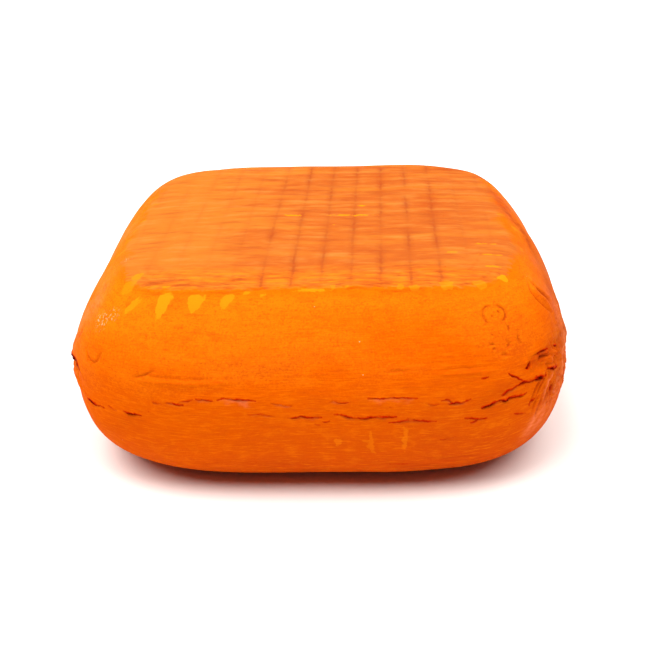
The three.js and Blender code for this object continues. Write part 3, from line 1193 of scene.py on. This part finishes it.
def marked(tree, colour, place, masks, colours):
    """Lays the bare spots, oil, torn rind, cracks and specks over a colour, with painted shade in
    grooves and in the cracks' gaps and painted sheen on pale stretches.
    """
    ragged = add(tree, STEP, grain(tree, place, (2.0, 2.0, 2.0), 3), 0.25, 0.75, -0.35, 0.35)
    edge = add(tree, SUM, masks["patch"], ragged)
    colour = layered(tree, colour, ((edge, 0.2, -0.2, 1, tuple(colours.bare)),), masks["tone"])
    oil = add(tree, STEP, grain(tree, place, (4, 4, 1.5), 4), 0.3, 0.65, 0.55, 1.0)
    flayed = add(tree, STEP, grain(tree, place, (2.5, 2.5, 1.2), 4), 0.35, 0.65, 0.3, 0.9)
    # The stain lays oil and painted shade; the torn mask lays torn slopes, painted sheen and painted
    # highlights.
    for mask, broken, laid in (("stain", oil, colours.smear), ("torn", flayed, colours.torn)):
        share = add(tree, PRODUCT, masks[mask], broken)
        colour = add(tree, MIX, share, colour, tuple(laid))
    # Painted shade in the cracks' gaps: red where a gap is somewhat dark, near-black where it is
    # darkest.
    fine = add(tree, STEP, grain(tree, place, (0.8, 0.8, 0.5), 2), 0.25, 0.75, -0.12, 0.12)
    gap = add(tree, SUM, masks["crack"], fine)
    open_gap = add(tree, STEP, masks["dark"], 0, 0.6, 0, 1)
    deep_gap = add(tree, STEP, masks["dark"], 0.4, 1.0, 0, 1)
    colour = layered(tree, colour, ((gap, 0.55, -0.1, 1, tuple(colours.gap_shade_and_pits)),), open_gap)
    colour = layered(tree, colour, ((gap, 0.0, -0.3, 1, tuple(colours.crack)),), deep_gap)
    bloom = add(tree, STEP, grain(tree, place, (0.8, 0.8, 0.8), 2), 0.55, 0.68, 0, 0.75)
    bloom = add(tree, PRODUCT, bloom, masks["bloom"])
    off_plate = add(tree, STEP, masks["plate"], 0, 3, 0, 1)
    salt = add(tree, PRODUCT, specks(tree, place, 8.5, 0.4, 0.0), off_plate)
    white = add(tree, PRODUCT, add(tree, SUM, salt, bloom), 0.6)
    colour = add(tree, MIX, white, colour, tuple(colours.bloom))
    pits = add(tree, PRODUCT, specks(tree, place, 7.5, 0.55, 0.3), 0.5)
    return add(tree, MIX, pits, colour, tuple(colours.gap_shade_and_pits))


def rind_material(colours, form):
    """Pressed cheese rind, rubbed with oil and orange spice: it looks satin and brushed along the
    wall and matt on top, with light painted into its colour: a pale sheen on the top, dark red shade
    inside its cracks and in its creases, and a darker right side."""
    material = bpy.data.materials.new("oil_rubbed_cheese_rind")
    material.use_nodes = True
    tree = material.node_tree
    shader = tree.nodes["Principled BSDF"]
    place = add(tree, PLACE)
    masks = {name: add(tree, recipe) for name, recipe in MASK.items()}
    wall, wall_relief = wall_finish(tree, place, colours)
    plate, plate_relief = plate_finish(tree, place, masks, colours, form)
    worn = add(tree, STEP, grain(tree, place, (15, 15, 15), 5), *SPAN, -4.0, 4.0)
    torn_edge = add(tree, STEP, grain(tree, place, (3, 1.5, 3), 3), *SPAN, -1.2, 1.2)
    off_front = add(tree, STEP, add(tree, AXES["Y"], place), -60 * MM, -30 * MM, 0.0, 1.0)
    edge = add(tree, SUM, masks["plate"], torn_edge)
    edge = add(tree, SUM, edge, add(tree, PRODUCT, worn, off_front))
    softness = add(tree, BLEND, off_front, 0.5, 6.0)
    on_plate = add(tree, STEP, edge, softness, -0.8, 0.0, 1.0)
    colour = marked(tree, add(tree, MIX, on_plate, wall, plate), place, masks, colours)
    relief = add(tree, BLEND, on_plate, wall_relief, plate_relief)
    sheen = grain(tree, place, (20, 20, 12))
    tree.links.new(colour, shader.inputs["Base Color"])
    tree.links.new(add(tree, BUMP, 0.8, 0.35 * MM, relief), shader.inputs["Normal"])
    tree.links.new(add(tree, STEP, sheen, *SPAN, 0.42, 0.58), shader.inputs["Roughness"])
    for name, value in RIND_FINISH.items():
        shader.inputs[name].default_value = value
    return material


# ---------------------------------------------------------------------------------------------
# Operators


class CHEESE_OT_make_cheese(bpy.types.Operator):
    """Make the whole cheese around its CAD solid"""

    bl_idname = "cheese.make_cheese"
    bl_label = "Make the cheese"

    def execute(self, context):
        form = context.scene.cheese_form
        guide = smooth_guide(frame["nodes"][NODE])
        skin = Skin(guide)
        cheese = meshed_block(*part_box(NODE))
        cheese.name = cheese.data.name = "whole_cheese"
        wrap(cheese, guide)
        marks = Marks(skin)
        self.refine(cheese, marks)
        wrap(cheese, guide)
        carve(cheese, skin, marks, form)
        bpy.data.objects.remove(guide)
        make_active(cheese)
        bpy.ops.object.shade_smooth_by_angle(angle=SHARP_EDGE)
        cheese.data.materials.append(rind_material(context.scene.rind_colours, form))
        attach(cheese, "root")
        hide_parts(NODE)
        return {"FINISHED"}

    def refine(self, cheese, marks):
        """Halves the squares where there is something to draw, more often where it is fine."""
        front = Nearness(marks.front_cracks + marks.front_folds)
        other = Nearness(marks.cracks + marks.folds)
        for level, front_reach in enumerate(FRONT_REACHES):
            centres = read_vectors(cheese.data.polygons, "center") / MM
            chosen = front.distances(centres) < front_reach
            if level < len(OTHER_REACHES):
                chosen |= other.distances(centres) < OTHER_REACHES[level]
                chosen |= self.worth_halving(centres, marks, level)
            halve_squares(cheese, chosen)

    def worth_halving(self, centres, marks, level):
        """The squares on the plate, and those of its front edge and of the crumpled corners."""
        outside = plate_distance(centres)
        high = centres[:, 2] > PLATE_LOWEST
        on_plate = high & (outside < 3)
        front_edge = high & (np.abs(outside + 2) < 4) & (centres[:, 1] < -50)
        chosen = on_plate if level == 0 else front_edge
        for mark in marks.crumples:
            chosen |= crumple_distance(centres, mark) < 1
        return chosen


# Each soft box: its name, how far it leans in from its side, and its share of the light. Both
# stand a little in front.
SOFT_BOXES = (("left_soft_box", 0.46, 1.18), ("right_soft_box", -0.46, 0.82))
SOFT_BOX_IN_FRONT = 0.13
FLOOR_SIZE = 40  # m, so wide that its edge never shows
CAMERA_PLACE = Vector((15.8, -418.5, 228.8)) * MM
CAMERA_AIM = Vector((0.83, 0.03, 27.23)) * MM
CAMERA_TIP = math.radians(-1.44)


class CHEESE_OT_set_stage(bpy.types.Operator):
    """Lay out the floor, the lights and the camera"""

    bl_idname = "cheese.set_stage"
    bl_label = "Set the stage"

    def execute(self, context):
        stage = context.scene.cheese_stage
        self.floor()
        self.room(context, stage)
        for soft_box in SOFT_BOXES:
            self.soft_box(context, stage, *soft_box)
        self.camera(context, stage)
        context.scene.view_settings.view_transform = "Standard"
        return {"FINISHED"}

    def floor(self):
        """A sheet of white card."""
        deselect_all()
        bpy.ops.mesh.primitive_plane_add(size=FLOOR_SIZE, location=(0, 0, 0))
        floor = bpy.context.active_object
        floor.name = "floor"
        card = bpy.data.materials.new("matt_white_card")
        card.use_nodes = True
        shader = card.node_tree.nodes["Principled BSDF"]
        for name, value in CARD_FINISH.items():
            shader.inputs[name].default_value = value
        floor.data.materials.append(card)

    def room(self, context, stage):
        """A dim room in front and a brighter sweep of paper behind, white wherever it is seen."""
        world = bpy.data.worlds.new("paper_sweep")
        context.scene.world = world
        world.use_nodes = True
        tree = world.node_tree
        background = tree.nodes["Background"]
        background.inputs["Color"].default_value = (1, 1, 1, 1)
        back = add(tree, AXES["Y"], add(tree, DIRECTION))
        light = add(tree, RAMP, back, -0.2, 0.8, stage.sky, stage.sweep)
        strength = add(tree, BLEND, add(tree, CAMERA_SEES), light, 1.0)
        tree.links.new(strength, background.inputs["Strength"])

    def soft_box(self, context, stage, name, lean, share):
        """A wide soft box overhead, which leans in from one side."""
        box = bpy.data.objects.new(name, bpy.data.lights.new(name, "SUN"))
        context.scene.collection.objects.link(box)
        box.data.angle = stage.softness
        box.data.energy = stage.box_power * share
        box.rotation_euler = Vector((lean, SOFT_BOX_IN_FRONT, -1)).to_track_quat("-Z", "Y").to_euler()

    def camera(self, context, stage):
        """A little right of the front, about 26 degrees up, tipped a degree and a half."""
        camera = bpy.data.objects.new("camera", bpy.data.cameras.new("camera"))
        context.scene.collection.objects.link(camera)
        camera.data.sensor_width = 36
        camera.data.lens = stage.lens
        turn = (CAMERA_AIM - CAMERA_PLACE).to_track_quat("-Z", "Y").to_matrix().to_4x4()
        tip = Matrix.Rotation(CAMERA_TIP, 4, "Z")
        camera.matrix_world = Matrix.Translation(CAMERA_PLACE) @ turn @ tip
        context.scene.camera = camera


class VIEW3D_PT_cheese(bpy.types.Panel):
    """Lists what makes the cheese"""

    bl_label = "Cheese"
    bl_idname = "VIEW3D_PT_cheese"
    bl_space_type = "VIEW_3D"
    bl_region_type = "UI"
    bl_category = "Cheese"

    def draw(self, context):
        scene = context.scene
        for group in (scene.cheese_form, scene.rind_colours, scene.cheese_stage):
            for name in group.__annotations__:
                self.layout.prop(group, name)
        for operator in (CHEESE_OT_make_cheese, CHEESE_OT_set_stage):
            self.layout.operator(operator.bl_idname)


GROUPS = {"cheese_form": CheeseForm, "rind_colours": RindColours, "cheese_stage": StageSettings}
CLASSES = (*GROUPS.values(), CHEESE_OT_make_cheese, CHEESE_OT_set_stage, VIEW3D_PT_cheese)


def register():
    for each in CLASSES:
        bpy.utils.register_class(each)
    for name, group in GROUPS.items():
        setattr(bpy.types.Scene, name, PointerProperty(type=group))


def unregister():
    for name in GROUPS:
        delattr(bpy.types.Scene, name)
    for each in reversed(CLASSES):
        bpy.utils.unregister_class(each)


def main():
    register()
    bpy.ops.cheese.make_cheese()
    bpy.ops.cheese.set_stage()


if __name__ == "__main__":
    main()
